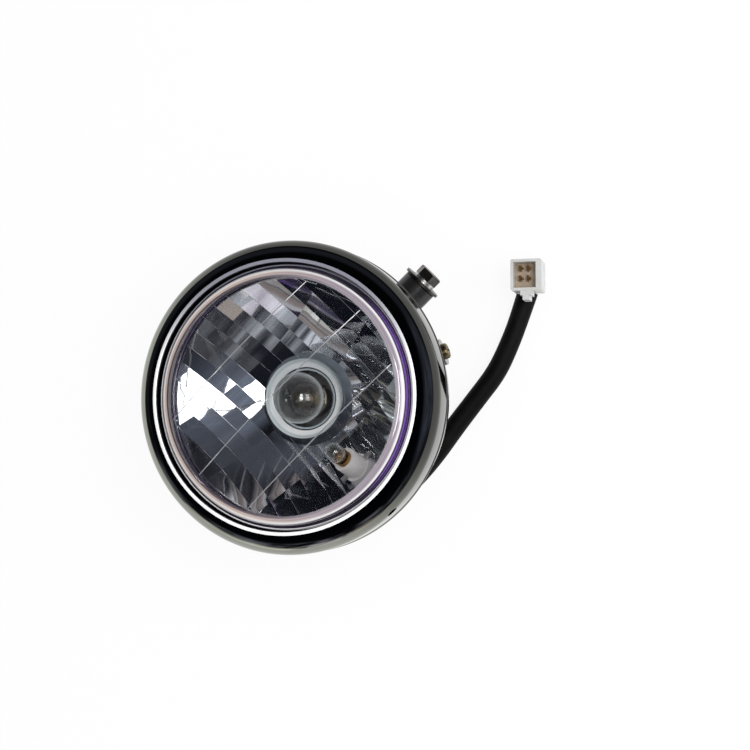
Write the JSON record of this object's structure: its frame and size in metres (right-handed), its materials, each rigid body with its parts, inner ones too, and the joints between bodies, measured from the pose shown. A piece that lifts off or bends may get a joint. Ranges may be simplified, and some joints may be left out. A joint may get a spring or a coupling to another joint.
{
  "type": "motorcycle headlight",
  "caption": "Round chrome-rimmed motorcycle headlight with clear lens, faceted reflector, pilot lamp, black bucket, side bolt collars and a sleeved harness ending in a plug.",
  "frame": {"origin": "on the lamp's axis at the flat back of the bucket, on which the lamp lies", "axes": "+Z along the beam, +X along the two side bolts, +Y to the top of the lamp as fitted"},
  "size_m": [0.253, 0.18, 0.122],
  "materials": {
    "black_enamel": "gloss",
    "black_collar": "satin",
    "chrome_plate": "polished",
    "zinc_steel": "zinc plated",
    "dark_nickel": "dark nickel plated",
    "yellow_zinc": "yellow passivated",
    "lens_glass": "clear, fine ribs inside",
    "violet_seal": "clear violet",
    "mirror_coat": "vacuum metallised",
    "bulb_glass": "clear",
    "brass": "bright",
    "tungsten": "drawn wire",
    "brown_board": "matt",
    "black_rubber": "matt",
    "white_nylon": "satin",
    "black_vinyl": "semi gloss sleeve",
    "wire_cover": "satin",
    "clear_nylon": "milky"
  },
  "bodies": {
    "root": {"bucket": "black_enamel", "chrome_rim": "chrome_plate", "rim_lugs": "zinc_steel", "lug_nuts": "zinc_steel", "rim_screws": "yellow_zinc", "retaining_clips": "zinc_steel", "lens": "lens_glass", "lens_seal": "violet_seal", "reflector": "mirror_coat", "bulb_seat_ring": "chrome_plate", "bulb_globe": "bulb_glass", "bulb_cap": "brass", "bulb_filaments": "tungsten", "bulb_socket": "zinc_steel", "contact_plate": "brown_board", "socket_clips": "zinc_steel", "dust_boot": "black_rubber", "pilot_holder": "white_nylon", "pilot_cap": "brass", "pilot_glass": "bulb_glass", "pilot_tabs": "zinc_steel", "wire_gland": "black_rubber", "bulb_loom": "wire_cover", "pilot_loom": "wire_cover", "harness_sleeve": "black_vinyl", "plug_wires": "wire_cover", "plug_housing": "clear_nylon", "plug_terminals": "brass", "side_collars": "black_collar", "side_weld_nuts": "zinc_steel", "flat_washers": "dark_nickel", "split_washers": "zinc_steel", "side_bolts": "dark_nickel"}
  },
  "joints": []
}
